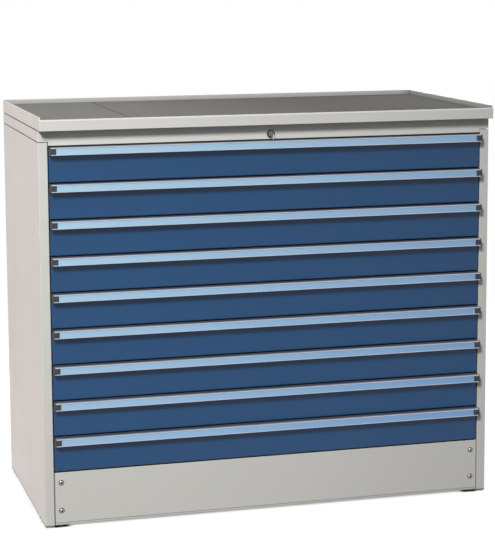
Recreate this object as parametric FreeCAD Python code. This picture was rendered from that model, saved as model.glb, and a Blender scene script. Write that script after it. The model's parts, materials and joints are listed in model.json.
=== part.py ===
"""Workshop and laboratory drawer cabinet: nine equal shallow drawers under a lipped worktop.

A folded sheet-steel carcass stands on four levelling feet. Two side panels carry nine pairs of
full-extension roller slides. Each drawer has a painted front with an extruded handle bar that
holds a label strip. A key in the header turns a spindle, whose crank lifts one locking bar behind
all the drawers.

Frame: millimetres, +X to the right of someone facing the drawers, +Y to the back, +Z up.
The origin is on the floor, under the middle of the cabinet's footprint.
"""
import FreeCAD
import Part
import math
import os

# ---------------------------------------------------------------- driving dimensions
WIDTH = 1300.0               # over the side panels
BODY_DEPTH = 650.0           # post faces to the back
BODY_HEIGHT = 1100.0         # floor to the top cover
TRAY_OVERHANG = 34.0         # worktop edge ahead of the posts
DRAWERS = 9
DRAWER_PITCH = 100.0
DRAWER_TRAVEL = 560.0        # full extension

SHEET = 1.5                  # carcass and drawer fronts
BOX_SHEET = 1.2              # drawer boxes
FOLD_RADIUS = 2.0            # outside radius of a folded edge
POST_WIDTH = 26.0            # front return of a side panel, seen as the post
SEAM = 1.8                   # shadow joint between the posts and the top cover
TRAY_SEAM = 1.5              # shadow joint between the top cover and the worktop
REST_INSET = 6.0             # strip that carries the worktop, in from its edges
PANEL_GAP = 1.5              # header and plinth ends to the posts
DRAWER_GAP = 3.0             # between fronts, above and below
SIDE_GAP = 2.5               # drawer front to post

POST_RETURN = 30.0           # depth of the post's inner flange
UPRIGHT_WIDTH = 40.0
UPRIGHT_WALL = 2.0
UPRIGHTS = (60.0, 550.0)     # behind the post face
STRAP_WALL = 3.0             # straps that guide the locking bar
STRAP_HEIGHT = 30.0
STRAP_FEET = (250.0, 550.0, 950.0)
HEADER_SHELF = 15.0

PANEL_FOOT = 3.0             # lower edge of the side panels
PLINTH_FOOT = 13.0
PLINTH_TOP = 155.0
COVER_SKIRT = 31.0           # height of the top cover's edge over the posts
FRONT_LIP = 27.0             # worktop edge at the front
SIDE_LIP = 37.0              # worktop edge at the sides and back
LIP = 3.0                    # a lip is the sheet folded back on itself
MAT = 3.0
MAT_DROP = 3.0               # mat surface below the front lip
MAT_SEAM = 267.0             # from the left side to the joint between the two mat pieces

FRONT_RETURN = 16.0          # depth of a drawer front's folded edges
BOX_FLOOR = 5.0              # drawer box above the lower edge of its front
BOX_TOP = 82.0
BOX_HALF = 604.0             # half the drawer box's width
BOX_LENGTH = 582.0

HANDLE_HEIGHT = 21.0
HANDLE_DEPTH = 25.0
HANDLE_DROP = 0.5            # handle below the top of the front
END_PLATE = 2.5
END_INSERT = 14.5
LABEL_CLEAR = 0.1

RAIL_FLOOR = 23.0            # slide channel above the lower edge of the front
RAIL_HEIGHT = 44.0
RAIL_SHEET = 2.0
RAIL_FLANGE = 9.0
RAIL_LENGTH = 600.0
CARRIAGE_LENGTH = 580.0
CARRIAGE_HEIGHT = 30.0
ROLLER_RADIUS = 19.7
ROLLER_WIDTH = 6.0
ROLLER_PIN = 4.0
BEARING_PLAY = 0.08
OUTER_ROLLERS = (330.0, 570.0)   # behind the post face, running in the cabinet's channel
INNER_ROLLERS = (40.0, 290.0)    # running in the drawer's channel

LOCK_HEIGHT = 1072.0
ROSETTE_RADIUS = 11.0
BARREL_RADIUS = 9.0
PLUG_RADIUS = 6.0
SPINDLE_RADIUS = 4.0
CRANK_RADIUS = 10.0
CRANK_START = math.radians(45.0)  # the pin starts this far below level and ends as far above
CRANK_PIN = 3.0
CRANK_DISC = 14.0
CRANK_THICK = 4.0
SLOT_PLAY = 0.7
BAR_WIDTH = 32.0
BAR_THICK = 4.0
HOOK_WIDTH = 12.0

SCREW_INSET = 20.0           # plinth screws in from the posts
SCREW_HEIGHTS = (47.0, 126.0)
SCREW_HEAD = 6.5             # radii, for M6
SCREW_SHANK = 3.0
SCREW_HOLE = 3.3
FOOT_TUBE = 40.0             # square foot tubes under the floor of the carcass
TUBE_WALL = 2.0
PAN_EDGE = 12.0              # turned-down edge of the floor
CROSS_RAIL = 30.0            # height of the rails that join the tubes' feet
FOOT_RADIUS = 17.0
STEM_RADIUS = 5.0            # M10
STEM_HOLE = 5.3
STEM_TOP = 45.0
WELD_NUT = 8.5

# ---------------------------------------------------------------- derived levels and planes
HALF = WIDTH / 2.0
OVERALL_DEPTH = BODY_DEPTH + TRAY_OVERHANG
TRAY_FRONT = -OVERALL_DEPTH / 2.0
BACK = OVERALL_DEPTH / 2.0
FACE = TRAY_FRONT + TRAY_OVERHANG            # front plane of posts, header, drawers and plinth
OPENING = HALF - POST_WIDTH                  # half the width between the posts
FRONT_HALF = OPENING - SIDE_GAP
HEADER_FOOT = PLINTH_TOP + DRAWERS * DRAWER_PITCH + DRAWER_GAP
POST_TOP = BODY_HEIGHT - COVER_SKIRT - SEAM
COVER_TOP = BODY_HEIGHT - TRAY_SEAM
FRONT_HEIGHT = DRAWER_PITCH - DRAWER_GAP
MAT_TOP = BODY_HEIGHT + FRONT_LIP - MAT_DROP
DECK_TOP = MAT_TOP - MAT
BASE_TOP = PLINTH_TOP - DRAWER_GAP
BASE_FOOT = 6.0
PLINTH_SHEET = 2.0
BOX_BACK = FACE + FRONT_RETURN + BOX_LENGTH
RAIL_FRONT = FACE + FRONT_RETURN + 2.0
BAR_FRONT = BACK - 10.0
BAR_MIDDLE = -8.0                            # the crank pin works on the left of the spindle
SPINDLE_END = BAR_FRONT - 2.0 - CRANK_THICK

V = FreeCAD.Vector


# ---------------------------------------------------------------- small tools
def block(x0, x1, y0, y1, z0, z1):
    """A box between two corners."""
    return Part.makeBox(x1 - x0, y1 - y0, z1 - z0, V(x0, y0, z0))


def rod(radius, y0, y1, x=0.0, z=0.0):
    """A round bar along Y."""
    return Part.makeCylinder(radius, y1 - y0, V(x, y0, z), V(0, 1, 0))


def post(radius, z0, z1, x=0.0, y=0.0):
    """A round bar along Z."""
    return Part.makeCylinder(radius, z1 - z0, V(x, y, z0), V(0, 0, 1))


def is_upright(edge):
    return abs(edge.tangentAt(edge.FirstParameter).z) > 0.99


def edges_at(shape, axis, value):
    """The edges that lie wholly in the plane axis = value."""
    low = {"x": "XMin", "y": "YMin", "z": "ZMin"}[axis]
    high = low.replace("Min", "Max")
    near = 1e-3
    return [e for e in shape.Edges
            if abs(getattr(e.BoundBox, low) - value) < near and abs(getattr(e.BoundBox, high) - value) < near]


def mirrored(shape):
    """The same piece for the other side of the cabinet."""
    return shape.mirror(V(0, 0, 0), V(1, 0, 0))


def drawer_foot(number):
    """Height of the lower edge of a drawer's front; drawer 1 is the top one."""
    return HEADER_FOOT - DRAWER_GAP - FRONT_HEIGHT - (number - 1) * DRAWER_PITCH


# ---------------------------------------------------------------- carcass
def side_panel():
    """Left side: skin, post and rear return folded from one sheet, with two welded uprights."""
    inner = -OPENING
    outside = block(-HALF, inner, FACE, BACK, PANEL_FOOT, POST_TOP)
    outside = outside.makeFillet(FOLD_RADIUS, [e for e in outside.Edges if is_upright(e)])
    inside = block(-HALF + SHEET, inner - SHEET, FACE + SHEET, BACK - SHEET, PANEL_FOOT - 1, POST_TOP - SHEET)
    inside = inside.makeFillet(FOLD_RADIUS - SHEET, [e for e in inside.Edges if is_upright(e)])
    open_side = block(inner - SHEET - 1, inner + 1, FACE + POST_RETURN, BACK - SHEET,
                      PANEL_FOOT - 1, POST_TOP - SHEET)
    panel = outside.cut(inside).cut(open_side)
    for place in UPRIGHTS:
        panel = panel.fuse(upright(FACE + place, FACE + place + UPRIGHT_WIDTH))
    return panel.removeSplitter()


def upright(y0, y1):
    """A channel from the foot of the side panel to the underside of the top cover."""
    outer = block(-HALF + SHEET, -OPENING, y0, y1, PANEL_FOOT, COVER_TOP - SHEET)
    hollow = block(-HALF + SHEET - 1, -OPENING - UPRIGHT_WALL, y0 + UPRIGHT_WALL, y1 - UPRIGHT_WALL,
                   PANEL_FOOT - 1, BODY_HEIGHT)
    return outer.cut(hollow)


def back_panel():
    """Sheet behind the drawers, with three straps that guide the locking bar."""
    front = BACK - SHEET - SHEET
    panel = block(-HALF + 10, HALF - 10, front, BACK - SHEET, BASE_TOP - PAN_EDGE, POST_TOP - SHEET - 0.5)
    slack = 1.0
    way = BAR_WIDTH / 2.0 + slack
    rim = way + STRAP_WALL
    for foot in STRAP_FEET:
        strap = block(BAR_MIDDLE - rim, BAR_MIDDLE + rim, BAR_FRONT - slack - STRAP_WALL, front,
                      foot, foot + STRAP_HEIGHT)
        inside = block(BAR_MIDDLE - way, BAR_MIDDLE + way, BAR_FRONT - slack, front,
                       foot - 1, foot + STRAP_HEIGHT + 1)
        panel = panel.fuse(strap.cut(inside))
    return panel.removeSplitter()


def top_cover():
    """Cap over the carcass: its front edge drops between the posts as the header."""
    foot = BODY_HEIGHT - COVER_SKIRT
    outside = block(-HALF, HALF, FACE, BACK, foot, COVER_TOP)
    outside = outside.makeFillet(FOLD_RADIUS, [e for e in outside.Edges if is_upright(e)])
    outside = outside.makeFillet(SHEET, edges_at(outside, "z", COVER_TOP))
    inside = block(-HALF + SHEET, HALF - SHEET, FACE + SHEET, BACK - SHEET, foot - 1, COVER_TOP - SHEET)
    cover = outside.cut(inside)
    reach = OPENING - PANEL_GAP
    drop = block(-reach, reach, FACE, FACE + SHEET, HEADER_FOOT, foot + 5)
    shelf = block(-reach, reach, FACE, FACE + HEADER_SHELF, HEADER_FOOT, HEADER_FOOT + SHEET)
    header = drop.fuse(shelf).removeSplitter()
    header = header.makeFillet(SHEET - 0.2, [e for e in edges_at(header, "y", FACE)
                                             if abs(e.BoundBox.ZMax - HEADER_FOOT) < 1e-3])
    cover = cover.fuse(header)
    bearing = block(-14, 14, SPINDLE_END - 12, SPINDLE_END - 10, HEADER_FOOT, COVER_TOP - SHEET)
    cover = cover.fuse(bearing).cut(rod(BARREL_RADIUS + 0.1, FACE - 1, FACE + 20, z=LOCK_HEIGHT))
    cover = cover.cut(rod(SPINDLE_RADIUS + 0.2, SPINDLE_END - 20, SPINDLE_END, z=LOCK_HEIGHT))
    return cover.removeSplitter()


def worktop_tray():
    """Lipped worktop on a rest strip: high lips at the sides and back, a lower lip along the front."""
    top = BODY_HEIGHT + SIDE_LIP
    outside = block(-HALF, HALF, TRAY_FRONT, BACK, BODY_HEIGHT, top)
    outside = outside.makeFillet(LIP, [e for e in outside.Edges if is_upright(e)])
    outside = outside.makeFillet(SHEET, edges_at(outside, "z", BODY_HEIGHT))
    outside = outside.makeFillet(1.2, edges_at(outside, "z", top))
    recess = block(-HALF + LIP, HALF - LIP, TRAY_FRONT + LIP, BACK - LIP, DECK_TOP, top + 1)
    under_deck = block(-HALF + LIP, HALF - LIP, TRAY_FRONT + LIP, BACK - LIP,
                       BODY_HEIGHT + SHEET, DECK_TOP - SHEET)
    rest = block(-HALF + REST_INSET, HALF - REST_INSET, FACE + REST_INSET, BACK - REST_INSET,
                 COVER_TOP, BODY_HEIGHT + SHEET)
    flange = 30.0
    opening = block(-HALF + flange, HALF - flange, FACE + flange, BACK - flange,
                    COVER_TOP - 1, BODY_HEIGHT + SHEET + 1)
    tray = outside.cut(recess).cut(under_deck).fuse(rest).cut(opening)
    return tray.cut(front_step(top)).removeSplitter()


def front_step(top):
    """What is cut away over the front lip, with a slope up to the side lips."""
    lip_top = BODY_HEIGHT + FRONT_LIP
    run = 8.0
    corners = [V(-HALF - 1, TRAY_FRONT - 1, lip_top), V(-HALF - 1, TRAY_FRONT, lip_top),
               V(-HALF - 1, TRAY_FRONT + run, top), V(-HALF - 1, TRAY_FRONT + run, top + 1),
               V(-HALF - 1, TRAY_FRONT - 1, top + 1)]
    outline = Part.makePolygon(corners + corners[:1])
    return Part.Face(outline).extrude(V(WIDTH + 2, 0, 0))


def ribbed_mat():
    """Two lengths of rubber sheet laid side by side on the deck."""
    seam = -HALF + MAT_SEAM
    front, back = TRAY_FRONT + LIP + 0.3, BACK - LIP - 0.3
    left = block(-HALF + LIP + 0.3, seam - 0.3, front, back, DECK_TOP, MAT_TOP)
    right = block(seam + 0.3, HALF - LIP - 0.3, front, back, DECK_TOP, MAT_TOP)
    return Part.makeCompound([left, right])


def base_pan():
    """Floor of the carcass: a sheet with turned-down edges on four foot tubes and two cross rails."""
    front = FACE + PLINTH_SHEET
    back = BACK - 2 * SHEET
    sheet = block(-OPENING, OPENING, front, back, BASE_TOP - PAN_EDGE, BASE_TOP)
    hollow = block(-OPENING + SHEET, OPENING - SHEET, front + SHEET, back - SHEET,
                   BASE_TOP - PAN_EDGE - 1, BASE_TOP - SHEET)
    pan = sheet.cut(hollow).fuse([foot_tube(x, y) for x, y in foot_places()])
    for y in (front, back - TUBE_WALL):
        pan = pan.fuse(block(-OPENING, OPENING, y, y + TUBE_WALL, BASE_FOOT, BASE_FOOT + CROSS_RAIL))
    for x, z in screw_places():
        pan = pan.cut(rod(SCREW_HOLE - 0.2, front - 1, front + TUBE_WALL + 1, x, z))
    return pan.removeSplitter()


def foot_tube(x, y):
    """A square tube with a sole, and the nut for a levelling foot welded inside it."""
    half = FOOT_TUBE / 2.0
    bore = half - TUBE_WALL
    sole = BASE_FOOT + TUBE_WALL
    tube = block(x - half, x + half, y - half, y + half, BASE_FOOT, BASE_TOP - SHEET)
    tube = tube.cut(block(x - bore, x + bore, y - bore, y + bore, sole, BASE_TOP))
    return tube.fuse(post(WELD_NUT, sole, sole + 8.0, x, y)).cut(post(STEM_HOLE, 0, STEM_TOP, x, y))


def foot_places():
    """Centres of the foot tubes, in the four corners of the floor."""
    inset = FOOT_TUBE / 2.0
    return [(side * (OPENING - inset), y) for side in (-1, 1)
            for y in (FACE + PLINTH_SHEET + inset, BACK - 2 * SHEET - inset)]


def plinth_panel():
    """Flat cover in front of the base, held by four screws."""
    reach = OPENING - PANEL_GAP
    panel = block(-reach, reach, FACE, FACE + PLINTH_SHEET, PLINTH_FOOT, PLINTH_TOP)
    panel = panel.makeFillet(1.0, edges_at(panel, "y", FACE))
    for x, z in screw_places():
        panel = panel.cut(rod(SCREW_HOLE, FACE - 1, FACE + PLINTH_SHEET + 1, x, z))
    return panel


def screw_places():
    reach = OPENING - SCREW_INSET
    return [(x, z) for x in (-reach, reach) for z in SCREW_HEIGHTS]


def plinth_screws():
    """Button-head screws with hexagon sockets."""
    head_height = 3.3
    screws = []
    for x, z in screw_places():
        dome = Part.makeSphere(8.0, V(x, FACE - head_height + 8.0, z))
        head = rod(SCREW_HEAD, FACE - head_height, FACE, x, z).common(dome)
        socket = hexagon(4.0, FACE - head_height - 1, FACE - head_height + 2.0, x, z)
        shank = rod(SCREW_SHANK, FACE - 0.5, FACE + 12.0, x, z)
        screws.append(head.fuse(shank).cut(socket).removeSplitter())
    return Part.makeCompound(screws)


def hexagon(across_flats, y0, y1, x, z):
    """A hexagonal prism along Y."""
    radius = across_flats / math.sqrt(3.0)
    corners = [V(x + radius * math.cos(i * math.pi / 3), y0, z + radius * math.sin(i * math.pi / 3))
               for i in range(6)]
    return Part.Face(Part.makePolygon(corners + corners[:1])).extrude(V(0, y1 - y0, 0))


def levelling_feet():
    """Rubber pads on threaded stems, turned up or down in the foot tubes' nuts."""
    feet = []
    for x, y in foot_places():
        pad = post(FOOT_RADIUS, 0, BASE_FOOT, x, y)
        pad = pad.makeFillet(1.0, edges_at(pad, "z", BASE_FOOT))
        feet.append(pad.fuse(post(STEM_RADIUS, BASE_FOOT - 0.5, STEM_TOP, x, y)).removeSplitter())
    return Part.makeCompound(feet)


# ---------------------------------------------------------------- slides
def channel(x_web, x_lip, y0, y1, foot):
    """A slide channel: web at x_web, opening towards x_lip."""
    low, high = min(x_web, x_lip), max(x_web, x_lip)
    outer = block(low, high, y0, y1, foot, foot + RAIL_HEIGHT)
    if x_web > x_lip:
        low, high = low - 1, high - RAIL_SHEET
    else:
        low, high = low + RAIL_SHEET, high + 1
    return outer.cut(block(low, high, y0 - 1, y1 + 1, foot + RAIL_SHEET, foot + RAIL_HEIGHT - RAIL_SHEET))


def cabinet_rails():
    """The fixed channels, bolted to the uprights, two for each drawer."""
    rails = []
    for number in range(1, DRAWERS + 1):
        foot = drawer_foot(number) + RAIL_FLOOR
        rail = channel(OPENING, OPENING - RAIL_FLANGE, RAIL_FRONT, RAIL_FRONT + RAIL_LENGTH, foot)
        rails += [rail, mirrored(rail)]
    return Part.makeCompound(rails)


def slide_carriages(number):
    """The middle members: a flat bar on each side with rollers facing out and in."""
    axle = drawer_foot(number) + RAIL_FLOOR + RAIL_HEIGHT / 2.0
    bar_in = (BOX_HALF + OPENING) / 2.0 - RAIL_SHEET / 2.0
    bar_out = bar_in + RAIL_SHEET
    bar = block(bar_in, bar_out, RAIL_FRONT, RAIL_FRONT + CARRIAGE_LENGTH,
                axle - CARRIAGE_HEIGHT / 2.0, axle + CARRIAGE_HEIGHT / 2.0)
    bar = bar.makeFillet(10.0, [e for e in bar.Edges if abs(e.tangentAt(e.FirstParameter).x) > 0.99])
    rollers = []
    play = 0.3
    sides = ((OUTER_ROLLERS, bar_out, bar_out + play), (INNER_ROLLERS, bar_in, bar_in - play - ROLLER_WIDTH))
    for places, seat, start in sides:
        for place in places:
            y = FACE + place
            pin_start = min(seat, start)
            pin = Part.makeCylinder(ROLLER_PIN, ROLLER_WIDTH + play, V(pin_start, y, axle), V(1, 0, 0))
            bar = bar.fuse(pin)
            tyre = Part.makeCylinder(ROLLER_RADIUS, ROLLER_WIDTH, V(start, y, axle), V(1, 0, 0))
            bore = Part.makeCylinder(ROLLER_PIN + BEARING_PLAY, ROLLER_WIDTH + 2,
                                     V(start - 1, y, axle), V(1, 0, 0))
            rollers.append(tyre.cut(bore))
    pieces = [bar.removeSplitter()] + rollers
    return Part.makeCompound(pieces + [mirrored(piece) for piece in pieces])


# ---------------------------------------------------------------- drawers
def drawer_box(number):
    """Welded drawer: folded front, box, runner channels, and a lug for the locking bar."""
    foot = drawer_foot(number)
    front = block(-FRONT_HALF, FRONT_HALF, FACE, FACE + FRONT_RETURN, foot, foot + FRONT_HEIGHT)
    front = front.makeFillet(FOLD_RADIUS, edges_at(front, "y", FACE))
    hollow = block(-FRONT_HALF + SHEET, FRONT_HALF - SHEET, FACE + SHEET, FACE + FRONT_RETURN + 1,
                   foot + SHEET, foot + FRONT_HEIGHT - SHEET)
    box_front = FACE + FRONT_RETURN - BOX_SHEET
    walls = block(-BOX_HALF, BOX_HALF, box_front, BOX_BACK, foot + BOX_FLOOR, foot + BOX_TOP)
    inside = block(-BOX_HALF + BOX_SHEET, BOX_HALF - BOX_SHEET, box_front + BOX_SHEET, BOX_BACK - BOX_SHEET,
                   foot + BOX_FLOOR + BOX_SHEET, foot + BOX_TOP + 1)
    bridge = block(-FRONT_HALF + SHEET, FRONT_HALF - SHEET, box_front, FACE + FRONT_RETURN,
                   foot + SHEET, foot + BOX_TOP)
    drawer = front.cut(hollow).fuse(walls.cut(inside)).fuse(bridge)
    runner = channel(BOX_HALF, BOX_HALF + RAIL_FLANGE, RAIL_FRONT, BOX_BACK, foot + RAIL_FLOOR)
    return drawer.fuse([runner, mirrored(runner), lock_lug(foot)]).removeSplitter()


def lug_level(foot):
    """Underside of the lug's plate."""
    return foot + BOX_TOP - 10.0


def lock_lug(foot):
    """An angle on the rear wall, turned down where the locking bar's hook rises in front of it."""
    plate = 2.0
    half = 10.0
    reach = 16.0
    under = lug_level(foot)
    shelf = block(BAR_MIDDLE - half, BAR_MIDDLE + half, BOX_BACK, BOX_BACK + reach, under, under + plate)
    lip = block(BAR_MIDDLE - half, BAR_MIDDLE + half, BOX_BACK + reach - plate, BOX_BACK + reach,
                under - 10.0, under + plate)
    return shelf.fuse(lip)


def handle_outline():
    """Handle section as (ahead of the drawer's face, above the handle's foot)."""
    web, wall, rim, lip, nest = 2.2, 2.0, 2.4, 1.1, 1.0
    seat = HANDLE_DEPTH - lip - 1.2
    flange = 1.8
    return [(0, 9), (0, HANDLE_HEIGHT), (HANDLE_DEPTH, HANDLE_HEIGHT), (HANDLE_DEPTH, HANDLE_HEIGHT - rim),
            (HANDLE_DEPTH - lip, HANDLE_HEIGHT - rim), (HANDLE_DEPTH - lip, HANDLE_HEIGHT - rim + nest),
            (seat, HANDLE_HEIGHT - rim + nest), (seat, rim - nest), (HANDLE_DEPTH - lip, rim - nest),
            (HANDLE_DEPTH - lip, rim), (HANDLE_DEPTH, rim), (HANDLE_DEPTH, 0), (seat - wall, 0),
            (seat - wall, HANDLE_HEIGHT - web), (flange, HANDLE_HEIGHT - web), (flange, 9)]


def handle_foot(number):
    return drawer_foot(number) + FRONT_HEIGHT - HANDLE_DROP - HANDLE_HEIGHT


def drawer_handle(number):
    """Aluminium extrusion over the full width: grip below, label channel in front."""
    foot = handle_foot(number)
    reach = FRONT_HALF - END_PLATE
    corners = [V(-reach, FACE - ahead, foot + up) for ahead, up in handle_outline()]
    bar = Part.Face(Part.makePolygon(corners + corners[:1])).extrude(V(2 * reach, 0, 0))
    front = FACE - HANDLE_DEPTH
    crown = [e for e in edges_at(bar, "y", front) if abs(e.BoundBox.ZMax - foot - HANDLE_HEIGHT) < 1e-3]
    toe = [e for e in edges_at(bar, "y", front) if abs(e.BoundBox.ZMax - foot) < 1e-3]
    return bar.makeFillet(0.9, crown + toe)


def label_span():
    return FRONT_HALF - END_PLATE - END_INSERT - LABEL_CLEAR


def drawer_label(number):
    """Label strip under its clear cover, slid into the handle's channel."""
    foot = handle_foot(number)
    reach = label_span()
    ahead = handle_outline()[6][0]
    low, high = handle_outline()[7][1], handle_outline()[6][1]
    return block(-reach, reach, FACE - ahead - 1.1, FACE - ahead - 0.1,
                 foot + low + LABEL_CLEAR, foot + high - LABEL_CLEAR)


def drawer_end_caps(number):
    """Plastic caps: a plate over each end of the handle and a plug that closes the label channel."""
    foot = handle_foot(number)
    inner = FRONT_HALF - END_PLATE
    plate = block(inner, FRONT_HALF, FACE - HANDLE_DEPTH, FACE, foot, foot + HANDLE_HEIGHT)
    plate = plate.makeFillet(1.2, [e for e in edges_at(plate, "y", FACE - HANDLE_DEPTH)
                                   if not is_upright(e)])
    rim = handle_outline()[3][1]
    seat = handle_outline()[6][0]
    plug = block(inner - END_INSERT, inner, FACE - HANDLE_DEPTH + 0.2, FACE - seat,
                 foot + HANDLE_HEIGHT - rim, foot + rim)
    cap = plate.fuse(plug).removeSplitter()
    return Part.makeCompound([mirrored(cap), cap])


# ---------------------------------------------------------------- central lock
def lock_housing():
    """Rosette, barrel and nut, clamped through the header."""
    rosette = rod(ROSETTE_RADIUS, FACE - 3.0, FACE, z=LOCK_HEIGHT)
    rosette = rosette.makeFillet(1.0, edges_at(rosette, "y", FACE - 3.0))
    barrel = rod(BARREL_RADIUS, FACE - 0.5, FACE + 20.0, z=LOCK_HEIGHT)
    nut = rod(12.0, FACE + SHEET, FACE + SHEET + 4.0, z=LOCK_HEIGHT)
    bore = rod(PLUG_RADIUS, FACE - 5.0, FACE + 25.0, z=LOCK_HEIGHT)
    return rosette.fuse(barrel).fuse(nut).cut(bore).removeSplitter()


def crank_pin_place():
    """The pin at rest, left of and below the spindle."""
    return (-CRANK_RADIUS * math.cos(CRANK_START), LOCK_HEIGHT - CRANK_RADIUS * math.sin(CRANK_START))


def lock_spindle():
    """Key plug, rod to the back, and crank with its pin."""
    plug = rod(PLUG_RADIUS - BEARING_PLAY, FACE - 2.6, FACE + 24.0, z=LOCK_HEIGHT)
    keyway = block(-1.25, 1.25, FACE - 4.0, FACE + 6.0, LOCK_HEIGHT - 4.0, LOCK_HEIGHT + 4.0)
    shaft = rod(SPINDLE_RADIUS, FACE + 20.0, SPINDLE_END + 1.0, z=LOCK_HEIGHT)
    disc = rod(CRANK_DISC, SPINDLE_END, SPINDLE_END + CRANK_THICK, z=LOCK_HEIGHT)
    x, z = crank_pin_place()
    pin = rod(CRANK_PIN, SPINDLE_END + 1.0, BAR_FRONT + BAR_THICK + 1.0, x, z)
    return plug.cut(keyway).fuse([shaft, disc, pin]).removeSplitter()


def lock_key():
    """Key in the plug, with a flat bow that droops below the blade."""
    blade = block(-1.1, 1.1, FACE - 12.0, FACE + 5.0, LOCK_HEIGHT - 3.5, LOCK_HEIGHT + 3.5)
    bow = block(-1.1, 1.1, FACE - 30.0, FACE - 11.0, HEADER_FOOT - 1.0, LOCK_HEIGHT + 5.0)
    bow = bow.makeFillet(6.0, [e for e in bow.Edges if abs(e.tangentAt(e.FirstParameter).x) > 0.99])
    eye = Part.makeCylinder(2.5, 4.0, V(-2.0, FACE - 24.0, HEADER_FOOT + 5.5), V(1, 0, 0))
    return blade.fuse(bow).cut(eye).removeSplitter()


def lock_bar():
    """Flat bar behind the drawers: a slot for the crank pin and a hook for each drawer's lug."""
    half = BAR_WIDTH / 2.0
    lowest = lug_level(drawer_foot(DRAWERS)) - 60.0
    bar = block(BAR_MIDDLE - half, BAR_MIDDLE + half, BAR_FRONT, BAR_FRONT + BAR_THICK,
                lowest, LOCK_HEIGHT + 8.0)
    pin_x, pin_z = crank_pin_place()
    reach = CRANK_PIN + 1.0
    slot = block(-CRANK_RADIUS - reach, pin_x + reach, BAR_FRONT - 1, BAR_FRONT + BAR_THICK + 1,
                 pin_z - CRANK_PIN - SLOT_PLAY, pin_z + CRANK_PIN + SLOT_PLAY)
    bar = bar.cut(slot)
    hooks = [hook(lug_level(drawer_foot(number))) for number in range(1, DRAWERS + 1)]
    return bar.fuse(hooks).removeSplitter()


def hook(lug):
    """An arm towards the drawer with an upturned finger, below the lug while unlocked."""
    half = HOOK_WIDTH / 2.0
    arm_top = lug - 26.0
    finger_top = lug - 15.0
    finger = BOX_BACK + 6.0
    arm = block(BAR_MIDDLE - half, BAR_MIDDLE + half, finger, BAR_FRONT + 1, arm_top - 3.0, arm_top)
    tip = block(BAR_MIDDLE - half, BAR_MIDDLE + half, finger, finger + 3.0, arm_top - 3.0, finger_top)
    return arm.fuse(tip)


# ---------------------------------------------------------------- the assembly
def all_pieces():
    left = side_panel()
    pieces = {
        "left_side_panel": left,
        "right_side_panel": mirrored(left),
        "back_panel": back_panel(),
        "top_cover": top_cover(),
        "worktop_tray": worktop_tray(),
        "ribbed_mat": ribbed_mat(),
        "base_pan": base_pan(),
        "plinth_panel": plinth_panel(),
        "plinth_screws": plinth_screws(),
        "levelling_feet": levelling_feet(),
        "cabinet_rails": cabinet_rails(),
        "lock_housing": lock_housing(),
        "lock_spindle": lock_spindle(),
        "lock_key": lock_key(),
        "lock_bar": lock_bar(),
    }
    for number in range(1, DRAWERS + 1):
        pieces[f"drawer_{number}_box"] = drawer_box(number)
        pieces[f"drawer_{number}_handle"] = drawer_handle(number)
        pieces[f"drawer_{number}_label"] = drawer_label(number)
        pieces[f"drawer_{number}_end_caps"] = drawer_end_caps(number)
        pieces[f"slide_{number}_carriages"] = slide_carriages(number)
    return pieces


os.makedirs("parts", exist_ok=True)
for name, shape in all_pieces().items():
    shape.exportStep(f"parts/{name}.step")
    size = shape.BoundBox
    print(f"{name}: solids {len(shape.Solids)}, valid {shape.isValid()}, "
          f"volume {shape.Volume / 1000.0:.1f} cm3, x {size.XMin:.1f} {size.XMax:.1f}, "
          f"y {size.YMin:.1f} {size.YMax:.1f}, z {size.ZMin:.1f} {size.ZMax:.1f}")
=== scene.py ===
# %% [markdown]
# # A steel cabinet with nine shallow drawers
# The object is a wide cabinet of folded sheet steel, about 1.3 m wide, with nine equal drawers, a lipped
# worktop that holds a rubber mat, and one key that locks every drawer.
# Its folded and machined parts come from the CAD frame, which stays as it is. This lesson gives each part
# its finish, adds the pieces that repeat a small shape many times, and sets up a plain studio.
# The frame has to be loaded first, because every new piece takes its place from the CAD parts.

# %% Load the CAD frame
import json
import math
import bpy
from mathutils import Matrix, Vector


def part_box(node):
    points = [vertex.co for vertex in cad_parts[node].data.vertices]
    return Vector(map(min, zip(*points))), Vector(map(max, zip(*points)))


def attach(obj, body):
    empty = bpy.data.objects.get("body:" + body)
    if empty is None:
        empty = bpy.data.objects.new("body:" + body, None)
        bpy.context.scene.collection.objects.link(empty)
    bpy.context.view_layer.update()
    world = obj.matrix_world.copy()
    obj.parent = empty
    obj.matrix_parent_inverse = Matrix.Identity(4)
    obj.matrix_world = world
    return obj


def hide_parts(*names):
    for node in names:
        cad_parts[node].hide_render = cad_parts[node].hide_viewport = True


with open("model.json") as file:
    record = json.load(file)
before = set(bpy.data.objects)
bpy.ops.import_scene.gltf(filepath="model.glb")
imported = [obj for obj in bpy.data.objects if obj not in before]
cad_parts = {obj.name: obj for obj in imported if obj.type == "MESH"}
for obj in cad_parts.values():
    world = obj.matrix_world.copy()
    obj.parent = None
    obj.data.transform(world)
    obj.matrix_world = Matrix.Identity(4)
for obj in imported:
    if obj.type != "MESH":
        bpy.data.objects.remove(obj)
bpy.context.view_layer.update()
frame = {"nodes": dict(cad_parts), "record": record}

nodes = frame["nodes"]
DRAWERS = sum(1 for name in nodes if name.endswith("_handle"))

# %% [markdown]
# ## The plane that the new pieces share
# A cabinet maker measures everything from the front plane, in which the plinth, the header and the drawer
# fronts lie. It is read from a CAD part, so that pieces keep touching if a size in the CAD changes.

# %% Front plane
MM = 0.001
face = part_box("plinth_panel")[0].y
print("front plane at y =", round(face, 4))

# %% [markdown]
# ## The view
# A cabinet like this is usually shown from a little to the left and from eye height, with a long lens that
# keeps its upright edges nearly parallel. A lens could be kept level and shifted down a long way instead,
# but that shift would push the cabinet out of every other view, so most of the framing is done by tilting
# the camera, and only a small shift is left.

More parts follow.
